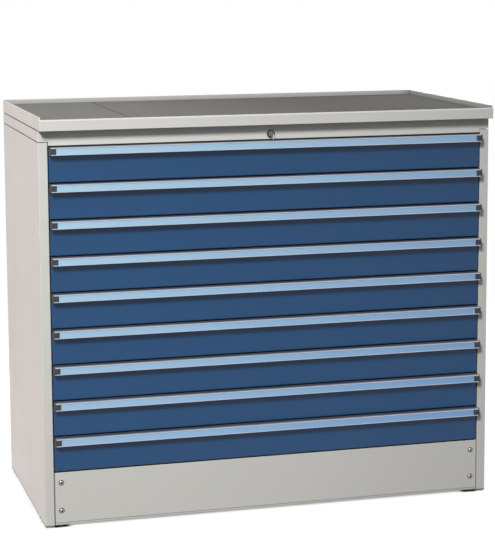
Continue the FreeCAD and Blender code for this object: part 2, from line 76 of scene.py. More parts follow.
# %% Camera
LONG_SIDE = 536.0                             # of the picture, in pixels
FOCAL_PIXELS = 1857.4
EYE = (-1.4244, -5.2376, 1.5488)
HEADING, TILT, ROLL = math.radians(15.712), math.radians(7.787), math.radians(-0.271)

camera_data = bpy.data.cameras.new("camera")
camera_data.sensor_width = 36.0
camera_data.lens = FOCAL_PIXELS / LONG_SIDE * camera_data.sensor_width
camera_data.shift_x, camera_data.shift_y = -0.0197, -0.1
camera_data.clip_end = 400.0
camera = bpy.data.objects.new("camera", camera_data)
bpy.context.scene.collection.objects.link(camera)
camera.matrix_world = (Matrix.Translation(EYE)
                       @ Matrix.Rotation(-HEADING, 4, "Z")
                       @ Matrix.Rotation(math.pi / 2 - TILT, 4, "X")
                       @ Matrix.Rotation(ROLL, 4, "Z"))
bpy.context.scene.camera = camera
bpy.context.scene.view_settings.view_transform = "Standard"
print("lens", round(camera_data.lens, 1), "mm")

# %% [markdown]
# ## Writing node trees in a few words
# Materials and Geometry Nodes are both trees of nodes. Adding each node by hand takes many lines, so one
# helper adds a node, sets its properties, and fills each input with either a value or a link. The others
# shorten what comes up most: arithmetic, fading one range into another, and asking where a point is.

# %% Helpers for any node tree
def add(tree, kind, properties=None, inputs=None):
    """Adds a node. inputs maps an input's name or number to a value or to another node's output."""
    made = tree.nodes.new(kind)
    for key, value in (properties or {}).items():
        setattr(made, key, value)
    for key, value in (inputs or {}).items():
        if isinstance(value, bpy.types.NodeSocket):
            tree.links.new(value, made.inputs[key])
        else:
            made.inputs[key].default_value = value
    return made


def calc(tree, operation, *values):
    """A Math node's output."""
    return add(tree, "ShaderNodeMath", {"operation": operation}, dict(enumerate(values))).outputs[0]


def spread(tree, value, low, high, to_low, to_high):
    """Maps low..high of a value to to_low..to_high, and holds it there."""
    return add(tree, "ShaderNodeMapRange", {}, {"Value": value, "From Min": low, "From Max": high,
                                                "To Min": to_low, "To Max": to_high}).outputs[0]


def object_place(tree):
    """The point that is being shaded, in Object coordinates, which are metres here."""
    return add(tree, "ShaderNodeTexCoord").outputs["Object"]


def axes(tree, vector):
    """X, Y and Z of a vector, by name."""
    return add(tree, "ShaderNodeSeparateXYZ", {}, {0: vector}).outputs


def stretched(tree, vector, factors):
    return add(tree, "ShaderNodeVectorMath", {"operation": "MULTIPLY"}, {0: vector, 1: factors}).outputs[0]


print("node helpers ready")

# %% [markdown]
# ## Studio light
# A large soft lamp stands high on the left in front of the cabinet. A grid in front of it narrows its beam,
# which is aimed past the left edge, so the left is brighter than the right, and the tray's edge and the
# handles throw soft-edged shadows down and a little to the right. A weaker, slightly warm lamp stands low at
# the left and lights only that side, as a coloured wall would, and a third one lights the back. A single
# strong dome would be simpler, but it would wipe out the shadows that show how far the handles stand out.

# %% Lamps
def soft_lamp(name, place, target, side, watts, colour, beam=180.0):
    """A square lamp. beam is the angle in degrees that it lights."""
    lamp = bpy.data.lights.new(name, "AREA")
    lamp.shape, lamp.size, lamp.energy, lamp.color = "SQUARE", side, watts, colour
    lamp.spread = math.radians(beam)
    holder = bpy.data.objects.new(name, lamp)
    holder.location = place
    aim = Vector(target) - Vector(place)
    holder.rotation_euler = aim.to_track_quat("-Z", "Y").to_euler()
    bpy.context.scene.collection.objects.link(holder)
    print(name, "stands", round(aim.length, 2), "m from the cabinet")


soft_lamp("key_lamp", (-3.9, -7.1, 6.2), (-0.9, -0.31, 0.85), 1.9, 41.0, (1.0, 1.0, 0.99), beam=36.0)
soft_lamp("side_lamp", (-5.2, 1.4, 0.65), (-0.65, 0.0, 0.6), 1.3, 66.0, (1.0, 0.66, 0.60))
soft_lamp("back_lamp", (3.2, 4.2, 1.5), (0.3, 0.3, 0.6), 2.4, 170.0, (1.0, 0.99, 0.98))

# %% [markdown]
# ## White surroundings
# The background is white to the camera and in reflections, while the light that falls on the cabinet from
# all round stays weak, which is what fills the shadows. The Light Path node tells these rays apart. One
# strong white world would be simpler, but it would wash out the paint.

# %% World
AMBIENT = 0.33


def seen_directly(tree):
    """1 for what the camera, a reflection or a clear part sees, and 0 for light that falls on a surface."""
    path = add(tree, "ShaderNodeLightPath").outputs
    either = calc(tree, "MAXIMUM", path["Is Camera Ray"], path["Is Glossy Ray"])
    return calc(tree, "MAXIMUM", either, path["Is Transmission Ray"])


world = bpy.data.worlds.new("studio")
world.use_nodes = True
bpy.context.scene.world = world
tree = world.node_tree
tree.nodes.clear()
white = add(tree, "ShaderNodeBackground", {}, {"Color": (1, 1, 1, 1), "Strength": 1.0})
ambient = add(tree, "ShaderNodeBackground", {}, {"Color": (0.97, 0.985, 1.0, 1), "Strength": AMBIENT})
mixed = add(tree, "ShaderNodeMixShader", {}, {
    0: seen_directly(tree), 1: ambient.outputs[0], 2: white.outputs[0]})
add(tree, "ShaderNodeOutputWorld", {}, {"Surface": mixed.outputs[0]})
print("world lights the cabinet at", AMBIENT)

# %% [markdown]
# ## Floor paper
# The floor is pale paper. Near the cabinet it is a matt surface with a white glow under it, so that it still
# takes a soft shadow, and further away it turns fully white. Under the cabinet and where a part comes close
# to it, no light would reach it, so the glow is taken away there, below the footprint by place and in the
# narrow gaps by the Ambient Occlusion node.

# %% Floor paper
GAP_REACH = 0.02                              # how close a part has to be to darken the paper
GAP_DARK, GAP_CLEAR = 0.40, 0.75              # openness at which a gap is fully dark, and not dark at all
FOOTPRINT_MIDDLE = 0.018                      # of the cabinet, front to back
DARK_HALF_X, DARK_HALF_Y = 0.615, 0.290       # half the size of the dark patch under it
SOFT_EDGE = 0.033
TONE_FOR_LIGHT, TONE_SEEN = 0.12, 0.34        # how pale the matt paper is to falling light, and to the eye
GLOW = 0.84
WHITE_FROM, WHITE_BY = 1.3, 3.2               # distances between which the paper turns fully white

floor_paper = bpy.data.materials.new("floor_paper")
floor_paper.use_nodes = True
tree = floor_paper.node_tree
tree.nodes.clear()
direct = seen_directly(tree)
place = object_place(tree)
spot = axes(tree, place)
out_x = calc(tree, "ABSOLUTE", spot["X"])
out_y = calc(tree, "ABSOLUTE", calc(tree, "SUBTRACT", spot["Y"], FOOTPRINT_MIDDLE))
outside = calc(tree, "MAXIMUM", spread(tree, out_x, DARK_HALF_X, DARK_HALF_X + SOFT_EDGE, 0.0, 1.0),
               spread(tree, out_y, DARK_HALF_Y, DARK_HALF_Y + SOFT_EDGE, 0.0, 1.0))
openness = add(tree, "ShaderNodeAmbientOcclusion", {"samples": 8}, {"Distance": GAP_REACH}).outputs["AO"]
clear = spread(tree, openness, GAP_DARK, GAP_CLEAR, 0.0, 1.0)
tone = calc(tree, "MULTIPLY", spread(tree, direct, 0.0, 1.0, TONE_FOR_LIGHT, TONE_SEEN),
            calc(tree, "MAXIMUM", clear, calc(tree, "SUBTRACT", 1.0, direct)))
matt = add(tree, "ShaderNodeBsdfDiffuse", {}, {"Color": tone})
glow_level = calc(tree, "MULTIPLY", calc(tree, "MULTIPLY", direct, GLOW),
                  calc(tree, "MULTIPLY", clear, outside))
glow = add(tree, "ShaderNodeEmission", {}, {"Strength": glow_level})
near = add(tree, "ShaderNodeAddShader", {}, {0: matt.outputs[0], 1: glow.outputs[0]})
plain = add(tree, "ShaderNodeEmission", {}, {"Strength": direct})
away = add(tree, "ShaderNodeVectorMath", {"operation": "LENGTH"}, {0: place}).outputs["Value"]
blend = add(tree, "ShaderNodeMixShader", {}, {0: spread(tree, away, WHITE_FROM, WHITE_BY, 0.0, 1.0),
                                             1: near.outputs[0], 2: plain.outputs[0]})
add(tree, "ShaderNodeOutputMaterial", {}, {"Surface": blend.outputs[0]})
print("made", floor_paper.name)

# %% [markdown]
# ### The sheet of paper
# One flat face is enough for the floor, because nothing on it bends or repeats. It only has to reach so far
# that its edge is out of sight in every view.

# %% Floor sheet
FLOOR_HALF = 60.0
sheet = bpy.data.meshes.new("floor")
sheet.from_pydata([(-FLOOR_HALF, -FLOOR_HALF, 0), (FLOOR_HALF, -FLOOR_HALF, 0),
                   (FLOOR_HALF, FLOOR_HALF, 0), (-FLOOR_HALF, FLOOR_HALF, 0)], [], [(0, 1, 2, 3)])
sheet.materials.append(floor_paper)
floor = bpy.data.objects.new("floor", sheet)
bpy.context.scene.collection.objects.link(floor)
print("floor is", 2 * FLOOR_HALF, "m wide")

# %% [markdown]
# ## Effects that several finishes share
# Powder coat, drawn metal, handled edges and settled dust each turn up on more than one material. Each is
# made once as a node group with named inputs and outputs, and the materials place it with their own values.
# The patterns follow Object coordinates, in metres, so they keep their real size on every part.

# %% Helpers for shader groups
def shader_group(name, inputs, outputs):
    """A new group with float inputs {name: default} or vector inputs, and float outputs."""
    group = bpy.data.node_groups.new(name, "ShaderNodeTree")
    for label, default in inputs.items():
        kind = "NodeSocketVector" if isinstance(default, tuple) else "NodeSocketFloat"
        group.interface.new_socket(label, in_out="INPUT", socket_type=kind).default_value = default
    for label in outputs:
        group.interface.new_socket(label, in_out="OUTPUT", socket_type="NodeSocketFloat")
    return group, add(group, "NodeGroupInput").outputs, add(group, "NodeGroupOutput")


def noise(tree, coordinates, scale, detail=2.0, roughness=0.5):
    return add(tree, "ShaderNodeTexNoise", {}, {"Vector": coordinates, "Scale": scale, "Detail": detail,
                                                "Roughness": roughness}).outputs[0]


def about_zero(tree, value):
    """Noise runs from 0 to 1; this moves its middle to 0."""
    return calc(tree, "SUBTRACT", value, 0.5)


def from_noise(tree, value, to_low, to_high):
    """Noise mostly stays between 0.3 and 0.7; this maps that part of it to to_low..to_high."""
    return spread(tree, value, 0.3, 0.7, to_low, to_high)


print("group helpers ready")

# %% [markdown]
# ### Powder coat
# Powder coat is sprayed on dry and melted in an oven. It sets with a fine pebbled skin, and its tone drifts
# very slightly from place to place. Two sizes of noise give the skin, and a broad slow noise the drift.

# %% Powder coat group
SPECKLE_FINER = 2.7                           # the small grain, against the pebbles
DRIFT_SCALE, GLOSS_SCALE = 2.1, 9.0           # noise scales: tone drifts over half a metre, gloss over a hand
powder_coat, given, gives = shader_group(
    "powder_coat_skin", {"Pebble size": 0.0016, "Drift": 0.02, "Roughness": 0.42},
    ("Height", "Tone", "Roughness"))
place = object_place(powder_coat)
fineness = calc(powder_coat, "DIVIDE", 1.0, given["Pebble size"])
pebbles = noise(powder_coat, place, fineness, 1.0)
speckle = noise(powder_coat, place, calc(powder_coat, "MULTIPLY", fineness, SPECKLE_FINER), 0.0)
height = calc(powder_coat, "ADD", pebbles, calc(powder_coat, "MULTIPLY", speckle, 0.4))
slow = about_zero(powder_coat, noise(powder_coat, place, DRIFT_SCALE, 3.0))
fine = about_zero(powder_coat, speckle)
drift = calc(powder_coat, "ADD", slow, calc(powder_coat, "MULTIPLY", fine, 0.8))
amount = calc(powder_coat, "MULTIPLY", given["Drift"], 4.0)
tone = calc(powder_coat, "ADD", calc(powder_coat, "MULTIPLY", drift, amount), 1.0)
cloudy = about_zero(powder_coat, noise(powder_coat, place, GLOSS_SCALE, 4.0))
rubbed = calc(powder_coat, "MULTIPLY", cloudy, 0.22)
powder_coat.links.new(height, gives.inputs["Height"])
powder_coat.links.new(tone, gives.inputs["Tone"])
powder_coat.links.new(calc(powder_coat, "ADD", rubbed, given["Roughness"]), gives.inputs["Roughness"])
print("group", powder_coat.name)

# %% [markdown]
# ### Handled edges, with a painted highlight
# Edges get rubbed first, and the finishes lighten them, partly as wear and partly as a painted highlight. The
# Bevel node rounds the shading normal near an edge, so where it differs from the true normal there is an edge.
# Noise breaks the mask up, because wear is never an even line.

# %% Edge group
edge_wear_and_highlight, given, gives = shader_group("edge_wear_and_highlight", {"Width": 0.0015, "Break up": 60.0}, ("Mask",))
rounded = add(edge_wear_and_highlight, "ShaderNodeBevel", {"samples": 4}, {"Radius": given["Width"]}).outputs[0]
true_normal = add(edge_wear_and_highlight, "ShaderNodeNewGeometry").outputs["Normal"]
same = add(edge_wear_and_highlight, "ShaderNodeVectorMath", {"operation": "DOT_PRODUCT"}, {
    0: rounded, 1: true_normal}).outputs["Value"]
edge = spread(edge_wear_and_highlight, calc(edge_wear_and_highlight, "SUBTRACT", 1.0, same), 0.02, 0.20, 0.0, 1.0)
broken = noise(edge_wear_and_highlight, object_place(edge_wear_and_highlight), given["Break up"], 4.0, 0.6)
patches = spread(edge_wear_and_highlight, broken, 0.40, 0.62, 0.15, 1.0)
edge_wear_and_highlight.links.new(calc(edge_wear_and_highlight, "MULTIPLY", edge, patches), gives.inputs["Mask"])
print("group", edge_wear_and_highlight.name)

# %% [markdown]
# ### Drawn metal
# Extruded aluminium and rolled steel carry faint straight lines along the way they were drawn. A noise that
# is stretched along that way gives them: the stretch vector is small along the lines and large across them.

# %% Drawn metal group
drawn_metal, given, gives = shader_group(
    "drawn_metal", {"Stretch": (4.0, 900.0, 900.0), "Roughness": 0.30, "Contrast": 0.10},
    ("Height", "Tone", "Roughness"))
place = object_place(drawn_metal)
pulled = stretched(drawn_metal, place, given["Stretch"])
lines = about_zero(drawn_metal, noise(drawn_metal, pulled, 1.0, 3.0, 0.6))
cloud = about_zero(drawn_metal, noise(drawn_metal, place, 11.0, 3.0))
uneven = calc(drawn_metal, "ADD", lines, cloud)
tone = calc(drawn_metal, "ADD", calc(drawn_metal, "MULTIPLY", uneven, given["Contrast"]), 1.0)
rough = calc(drawn_metal, "ADD", calc(drawn_metal, "MULTIPLY", uneven, 0.25), given["Roughness"])
drawn_metal.links.new(lines, gives.inputs["Height"])
drawn_metal.links.new(tone, gives.inputs["Tone"])
drawn_metal.links.new(rough, gives.inputs["Roughness"])
print("group", drawn_metal.name)

# %% [markdown]
# ### Settled dust
# Surfaces that face up collect a little dust and finger marks, which dull the gloss in soft patches. The
# mask is strongest where the surface normal points up.

# %% Dust group
dust, given, gives = shader_group("settled_dust", {"Amount": 0.3, "Patch size": 0.08}, ("Mask",))
facing = axes(dust, add(dust, "ShaderNodeNewGeometry").outputs["Normal"])["Z"]
upward = spread(dust, facing, 0.55, 0.95, 0.0, 1.0)
patch = noise(dust, object_place(dust), calc(dust, "DIVIDE", 1.0, given["Patch size"]), 5.0, 0.65)
mask = calc(dust, "MULTIPLY", upward, spread(dust, patch, 0.35, 0.70, 0.2, 1.0))
dust.links.new(calc(dust, "MULTIPLY", mask, given["Amount"]), gives.inputs["Mask"])
print("group", dust.name)

# %% [markdown]
# ### Painted shade in corners and joints
# The Ambient Occlusion node looks around each point for walls within a short reach, and the finishes paint
# those places darker as shade, in joints and inside corners. It finds them on any part without painting a
# mask by hand.

# %% Corner grime group
painted_corner_shade, given, gives = shader_group("painted_corner_shade", {"Reach": 0.004, "Amount": 0.7}, ("Mask",))
openness = add(painted_corner_shade, "ShaderNodeAmbientOcclusion", {"samples": 6}, {
    "Distance": given["Reach"]}).outputs["AO"]
shut_in = spread(painted_corner_shade, openness, 0.25, 0.85, 1.0, 0.0)
painted_corner_shade.links.new(calc(painted_corner_shade, "MULTIPLY", shut_in, given["Amount"]), gives.inputs["Mask"])
print("group", painted_corner_shade.name)

# %% [markdown]
# ## Finishes
# Each finish is a Principled shader whose colour, roughness and bump come from the groups above. The small
# helpers place a group, tint a colour by a tone, and make the bump.

# %% Helpers for finishes
FINISHES = {}


def finish(name, **constants):
    """A new material's tree and Principled shader; constants go straight to the shader's own sockets."""
    material = FINISHES[name] = bpy.data.materials.new(name)
    material.use_nodes = True
    shader = material.node_tree.nodes["Principled BSDF"]
    for label, value in constants.items():
        shader.inputs[label.replace("_", " ")].default_value = value
    return material.node_tree, shader


def place_group(tree, group, **values):
    return add(tree, "ShaderNodeGroup", {"node_tree": group},
               {key.replace("_", " "): value for key, value in values.items()}).outputs


def tinted(tree, colour, tone):
    """A colour, or a socket that holds one, made lighter or darker by a tone near 1."""
    return add(tree, "ShaderNodeVectorMath", {"operation": "SCALE"}, {0: colour, "Scale": tone}).outputs[0]


def mixed_colour(tree, mask, first, second):
    """first where the mask is 0 and second where it is 1."""
    made = add(tree, "ShaderNodeMix", {"data_type": "RGBA"}, {0: mask})
    for slot, colour in ((6, first), (7, second)):
        if isinstance(colour, bpy.types.NodeSocket):
            tree.links.new(colour, made.inputs[slot])
        else:
            made.inputs[slot].default_value = (*colour, 1.0)
    return made.outputs[2]


def bumped(tree, shader, height, distance, strength=1.0):
    bump = add(tree, "ShaderNodeBump", {}, {"Height": height, "Distance": distance, "Strength": strength})
    tree.links.new(bump.outputs[0], shader.inputs["Normal"])


print("finish helpers ready")

# %% [markdown]
# ### Painted shade in the long seams
# The long seams under the worktop and the top cover, and the fold at the foot of each drawer front, are
# painted darker as shade. A seam is thinner than the reach of the painted corner shade, so each line is drawn
# where it lies, from its distance to the seam. The nine folds are one seam that comes again at every drawer.

# %% Seam dirt
DRAWER_PITCH = 0.1
ONCE = 10.0                                   # a spacing beyond the cabinet, for a seam that comes once
SEAM_DARK, SEAM_GONE = 0.0012, 0.0028         # distances at which a line is darkest, and has ended
# each seam: its height, the spacing at which it comes again, and the Y behind which it is drawn
COVER_SEAM = (1.0681, ONCE, face + 1.5 * MM)
TRAY_SEAM = (1.09925, ONCE, face + 1.5 * MM)
DRAWER_FOLD = (0.058, DRAWER_PITCH, -1.0)


def seam_shade(tree, place, seam):
    """Painted shade in a level seam."""
    height, spacing, drawn_behind = seam
    in_turn = calc(tree, "MODULO", place["Z"], spacing)
    beside = calc(tree, "ABSOLUTE", calc(tree, "SUBTRACT", in_turn, height))
    line = spread(tree, beside, SEAM_DARK, SEAM_GONE, 0.65, 0.0)
    return calc(tree, "MULTIPLY", line, calc(tree, "GREATER_THAN", place["Y"], drawn_behind))


print("seams at z =", COVER_SEAM[0], "and", TRAY_SEAM[0])

# %% [markdown]
# ### Painted shade around the plinth
# The upright joints beside the plinth and a ring around each of its screws are painted darker as shade. The
# screws lie alike on both sides, and one above and one below a middle height, so two absolute values fold
# all four onto one, and one ring is enough.

# %% Plinth dirt
SCREW_X, SCREW_MIDDLE, SCREW_APART = 0.604, 0.0865, 0.0395      # side, middle height, half the space between
SCREW_RING = 0.0071                           # radius of the ring of painted shade around a screw head
RING_DARK, RING_GONE = 0.0004, 0.0014         # distances at which that painted shade is darkest, and has ended
GAP_SHADED, GAP_UNSHADED = 0.0007, 0.0018         # the same for the upright joints
PLINTH_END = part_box("plinth_panel")[1].x
PLINTH_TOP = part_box("plinth_panel")[1].z


def from_screw(tree, place):
    """How far a point of the plinth is from the axis of the nearest screw."""
    dx = calc(tree, "SUBTRACT", calc(tree, "ABSOLUTE", place["X"]), SCREW_X)
    from_middle = calc(tree, "ABSOLUTE", calc(tree, "SUBTRACT", place["Z"], SCREW_MIDDLE))
    dz = calc(tree, "SUBTRACT", from_middle, SCREW_APART)
    squares = calc(tree, "ADD", calc(tree, "MULTIPLY", dx, dx), calc(tree, "MULTIPLY", dz, dz))
    return calc(tree, "SQRT", squares)


def plinth_shade(tree, place):
    """Painted shade around each screw head and in the upright joints between the plinth and the posts."""
    from_ring = calc(tree, "ABSOLUTE", calc(tree, "SUBTRACT", from_screw(tree, place), SCREW_RING))
    ring = spread(tree, from_ring, RING_DARK, RING_GONE, 0.8, 0.0)
    beside = calc(tree, "ABSOLUTE", calc(tree, "SUBTRACT", calc(tree, "ABSOLUTE", place["X"]), PLINTH_END))
    joint = spread(tree, beside, GAP_SHADED, GAP_UNSHADED, 0.68, 0.0)
    low = calc(tree, "LESS_THAN", place["Z"], PLINTH_TOP)
    in_front = calc(tree, "LESS_THAN", place["Y"], face + 2.5 * MM)
    return calc(tree, "MULTIPLY", calc(tree, "MAXIMUM", ring, joint), calc(tree, "MULTIPLY", low, in_front))


print("plinth ends at x =", round(PLINTH_END, 4))

# %% [markdown]
# ### Painted sheet
# The carcass and worktop are light grey and the drawer fronts blue, all in the same fine powder coat. The
# paint is darkened by painted shade: a little towards the floor, more in its lowest few millimetres as a
# painted contact shadow, and in corners and seams. Its edges are lighter, partly wear and partly a painted
# highlight.
# One function makes the three, since mostly the colours differ. The drawer boxes behind the fronts are grey
# like the carcass, and a step in the Object Y coordinate at the back of the folded front tells the two apart.

# %% Paint
GREY = (0.655, 0.648, 0.615)
BLUE = (0.006, 0.055, 0.152)
BOX_GREY = (0.56, 0.565, 0.56)
# edge colours, lighter than the paint: partly wear, partly a painted highlight
GREY_EDGE_WEAR_AND_HIGHLIGHT, BLUE_EDGE_WEAR_AND_HIGHLIGHT = (0.75, 0.74, 0.72), (0.35, 0.33, 0.28)
DUST_GREY = (0.55, 0.54, 0.52)
# the dark colour toward which the painted shade in corners and joints is mixed
PAINTED_SHADE = (0.045, 0.040, 0.034)
FRONT_DEPTH = 15.6 * MM                       # of the folded blue front, before the grey box begins
LOW_SHADE_END = 0.9                              # height at which the painted shade towards the floor has faded out
FOOT_SHADE_DARKEST, FOOT_SHADE_GONE = 0.004, 0.009                  # heights where the painted contact shadow at the foot is darkest, and has ended


def paint(name, colour, edge, inner=None, reach=0.004, shade_amount=0.85, gloss=0.35, low_shade=0.0, seams=(),
          extra_shade=None):
    """Powder coat. edge is its colour at edges, lightened by wear and a painted highlight, inner the colour
    behind a front, and the last argument a function for a mask of painted shade.
    """
    tree, shader = finish(name, Specular_IOR_Level=gloss, Metallic=0.0)
    coat = place_group(tree, powder_coat, Roughness=0.40)
    edges = place_group(tree, edge_wear_and_highlight, Width=0.0016)
    settled = place_group(tree, dust, Amount=0.16)
    corner_shade = place_group(tree, painted_corner_shade, Reach=reach, Amount=shade_amount)
    place = axes(tree, object_place(tree))
    body = colour
    if inner:
        behind = calc(tree, "GREATER_THAN", place["Y"], face + FRONT_DEPTH)
        body = mixed_colour(tree, behind, colour, inner)
    # painted shade: darker towards the floor, and a painted contact shadow in the lowest few millimetres
    tone = calc(tree, "MULTIPLY", coat["Tone"], spread(tree, place["Z"], 0.0, LOW_SHADE_END, 1.0 - low_shade, 1.0))
    tone = calc(tree, "MULTIPLY", tone, spread(tree, place["Z"], FOOT_SHADE_DARKEST, FOOT_SHADE_GONE, 0.20, 1.0))
    # painted shade in the seams and around the plinth darkens the tone
    masks = [seam_shade(tree, place, seam) for seam in seams]
    if extra_shade:
        masks.append(extra_shade(tree, place))
    for mask in masks:
        tone = calc(tree, "MULTIPLY", tone, calc(tree, "SUBTRACT", 1.0, mask))
    # edges mixed toward a lighter colour: partly wear, partly a painted highlight
    rubbed = mixed_colour(tree, calc(tree, "MULTIPLY", edges["Mask"], 0.14), tinted(tree, body, tone), edge)
    dusty = mixed_colour(tree, settled["Mask"], rubbed, DUST_GREY)
    # painted shade: corners and joints within reach are mixed toward a dark colour
    tree.links.new(mixed_colour(tree, corner_shade["Mask"], dusty, PAINTED_SHADE), shader.inputs["Base Color"])
    rough = calc(tree, "ADD", coat["Roughness"], calc(tree, "MULTIPLY", settled["Mask"], 0.5))
    tree.links.new(rough, shader.inputs["Roughness"])
    bumped(tree, shader, coat["Height"], 0.00012, 0.6)
    print("finish", name)


# reach and the shade amount set the painted shade in corners; the worktop's long reach darkens the inner faces
# of its lips
paint("carcass_paint", GREY, GREY_EDGE_WEAR_AND_HIGHLIGHT, low_shade=0.10, seams=(COVER_SEAM, TRAY_SEAM), extra_shade=plinth_shade)
paint("worktop_paint", tuple(c * 1.02 for c in GREY), GREY_EDGE_WEAR_AND_HIGHLIGHT, reach=0.04, shade_amount=0.75, seams=(TRAY_SEAM,))
paint("drawer_paint", BLUE, BLUE_EDGE_WEAR_AND_HIGHLIGHT, inner=BOX_GREY, gloss=0.5, reach=0.007, seams=(DRAWER_FOLD,))

# %% [markdown]
# ### Painted dark marks on the metal parts
# Three metal parts get painted dark marks: a painted dark reflection on the lock's rosette outside its plug,
# painted shade in the socket and at the edge of each plinth screw, and painted shade on the ledge on top of
# each handle, against the drawer front. They could be cut or painted on one by one, but a distance from an
# axis or an edge finds each of them.

# %% Marks
LOCK_HEIGHT = 1.072
# the painted dark reflection begins at the plug's radius and is full from the second radius
PLUG_RADIUS, DARKEST_FROM_RADIUS = 0.0055, 0.0080
SOCKET_RADIUS, SOCKET_RIM, HEAD_RADIUS = 0.0028, 0.0036, 0.0064
HANDLE_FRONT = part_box("drawer_1_handle")[0].y
LEDGE_UNSHADED, LEDGE_SHADED = 6 * MM, 12 * MM    # distances behind the handle's front face at which the painted shade on the ledge begins, and is full


def lock_dark_reflection(tree):
    """A painted dark reflection on the rosette, from the edge of the plug outwards."""
    flat = stretched(tree, object_place(tree), (1.0, 0.0, 1.0))
    radius = add(tree, "ShaderNodeVectorMath", {"operation": "DISTANCE"}, {
        0: flat, 1: (0.0, 0.0, LOCK_HEIGHT)}).outputs["Value"]
    return spread(tree, radius, PLUG_RADIUS, DARKEST_FROM_RADIUS, 0.0, 0.85)


def screw_shade(tree):
    """Painted shade in the socket and at the edge of each plinth screw."""
    radius = from_screw(tree, axes(tree, object_place(tree)))
    socket = spread(tree, radius, SOCKET_RADIUS, SOCKET_RIM, 1.0, 0.0)
    from_edge = calc(tree, "ABSOLUTE", calc(tree, "SUBTRACT", radius, HEAD_RADIUS))
    return calc(tree, "MAXIMUM", socket, spread(tree, from_edge, 0.0006, 0.0013, 0.9, 0.0))


def ledge_shade(tree):
    """Painted shade on the handle's upper ledge, close to the drawer front."""
    across = axes(tree, object_place(tree))["Y"]
    facing = axes(tree, add(tree, "ShaderNodeNewGeometry").outputs["Normal"])["Z"]
    settled = spread(tree, across, HANDLE_FRONT + LEDGE_UNSHADED, HANDLE_FRONT + LEDGE_SHADED, 0.0, 0.75)
    return calc(tree, "MULTIPLY", settled, spread(tree, facing, 0.6, 0.9, 0.0, 1.0))


print("handles stand out", round((face - HANDLE_FRONT) / MM, 1), "mm")

# %% [markdown]
# ### Metals
# The handles are satin anodised aluminium, drawn along X. The anodised layer scatters light as well as
# mirroring it, so that metal is made partly cloudy. Slides, screws and the locking bar are zinc plated steel,
# which is duller and has broad grey patches. The lock and key are nickel. They differ in colour, roughness
# and the way the lines run, so one function makes them all.

# %% Metal
# the dark colour toward which painted shade and the painted dark marks are mixed
METAL_SHADE = (0.022, 0.021, 0.019)
EDGE_SHINE = 0.15                             # how much brighter a rubbed edge is, wear with a painted highlight
ALONG_Y = (260.0, 5.0, 260.0)                 # a stretch vector for lines that run from front to back


def metal(name, colour, roughness, stretch, contrast, line_depth, reach=0.0025, cloudy=0.0, marks=None):
    """Drawn metal. stretch sets the way of the lines, and marks is a function that gives a mask of painted
    dark marks.
    """
    tree, shader = finish(name, Metallic=1.0 - cloudy)
    skin = place_group(tree, drawn_metal, Stretch=stretch, Roughness=roughness, Contrast=contrast)
    edges = place_group(tree, edge_wear_and_highlight, Width=0.0006)
    shine = calc(tree, "ADD", 1.0, calc(tree, "MULTIPLY", edges["Mask"], EDGE_SHINE))
    bright = tinted(tree, tinted(tree, colour, skin["Tone"]), shine)
    # painted shade in corners within reach, joined by the painted marks
    mask = place_group(tree, painted_corner_shade, Reach=reach, Amount=0.8)["Mask"]
    if marks:
        mask = calc(tree, "MAXIMUM", mask, marks(tree))
    tree.links.new(mixed_colour(tree, mask, bright, METAL_SHADE), shader.inputs["Base Color"])
    tree.links.new(skin["Roughness"], shader.inputs["Roughness"])
    bumped(tree, shader, skin["Height"], line_depth)
    print("finish", name)


metal("handle_aluminium", (0.52, 0.57, 0.64), roughness=0.36, stretch=(3.0, 1100.0, 1100.0), contrast=0.08,
      line_depth=0.00002, cloudy=0.6, reach=0.008, marks=ledge_shade)
metal("slide_steel", (0.56, 0.57, 0.58), roughness=0.42, stretch=ALONG_Y, contrast=0.35, line_depth=0.00003)
metal("roller_steel", (0.48, 0.49, 0.49), roughness=0.38, stretch=ALONG_Y, contrast=0.30, line_depth=0.00003)
metal("screw_steel", (0.42, 0.42, 0.41), roughness=0.40, stretch=(700.0, 700.0, 700.0), contrast=0.30,
      line_depth=0.00002, cloudy=0.2, reach=0.006, marks=screw_shade)
metal("bar_steel", (0.50, 0.51, 0.52), roughness=0.42, stretch=(300.0, 300.0, 5.0), contrast=0.30,
      line_depth=0.00003, reach=0.02)
metal("lock_nickel", (0.26, 0.26, 0.23), roughness=0.28, stretch=(500.0, 500.0, 500.0), contrast=0.30,
      line_depth=0.00002, marks=lock_dark_reflection)
metal("key_nickel", (0.58, 0.57, 0.54), roughness=0.26, stretch=(400.0, 8.0, 400.0), contrast=0.25,
      line_depth=0.00002)

# %% [markdown]
# ### Label strip
# The label is pale blue card that slides into the handle under a clear plastic cover. Card has a fine fibre
# and slightly uneven colour. It is painted paler towards the left and in the upper drawers, a painted
# highlight from the lamp's side. The cover could be a second thin piece, but a clear coat on the card's shader
# gives the same even gloss.

# %% Label strip
CARD_BLUE = (0.204, 0.393, 0.722)
CARD_HIGHLIT = (0.42, 0.63, 0.77)
HIGHLIGHT_ACROSS, HIGHLIGHT_UPWARDS = 0.52, 0.45        # how strongly the painted highlight lightens the left end and the top labels

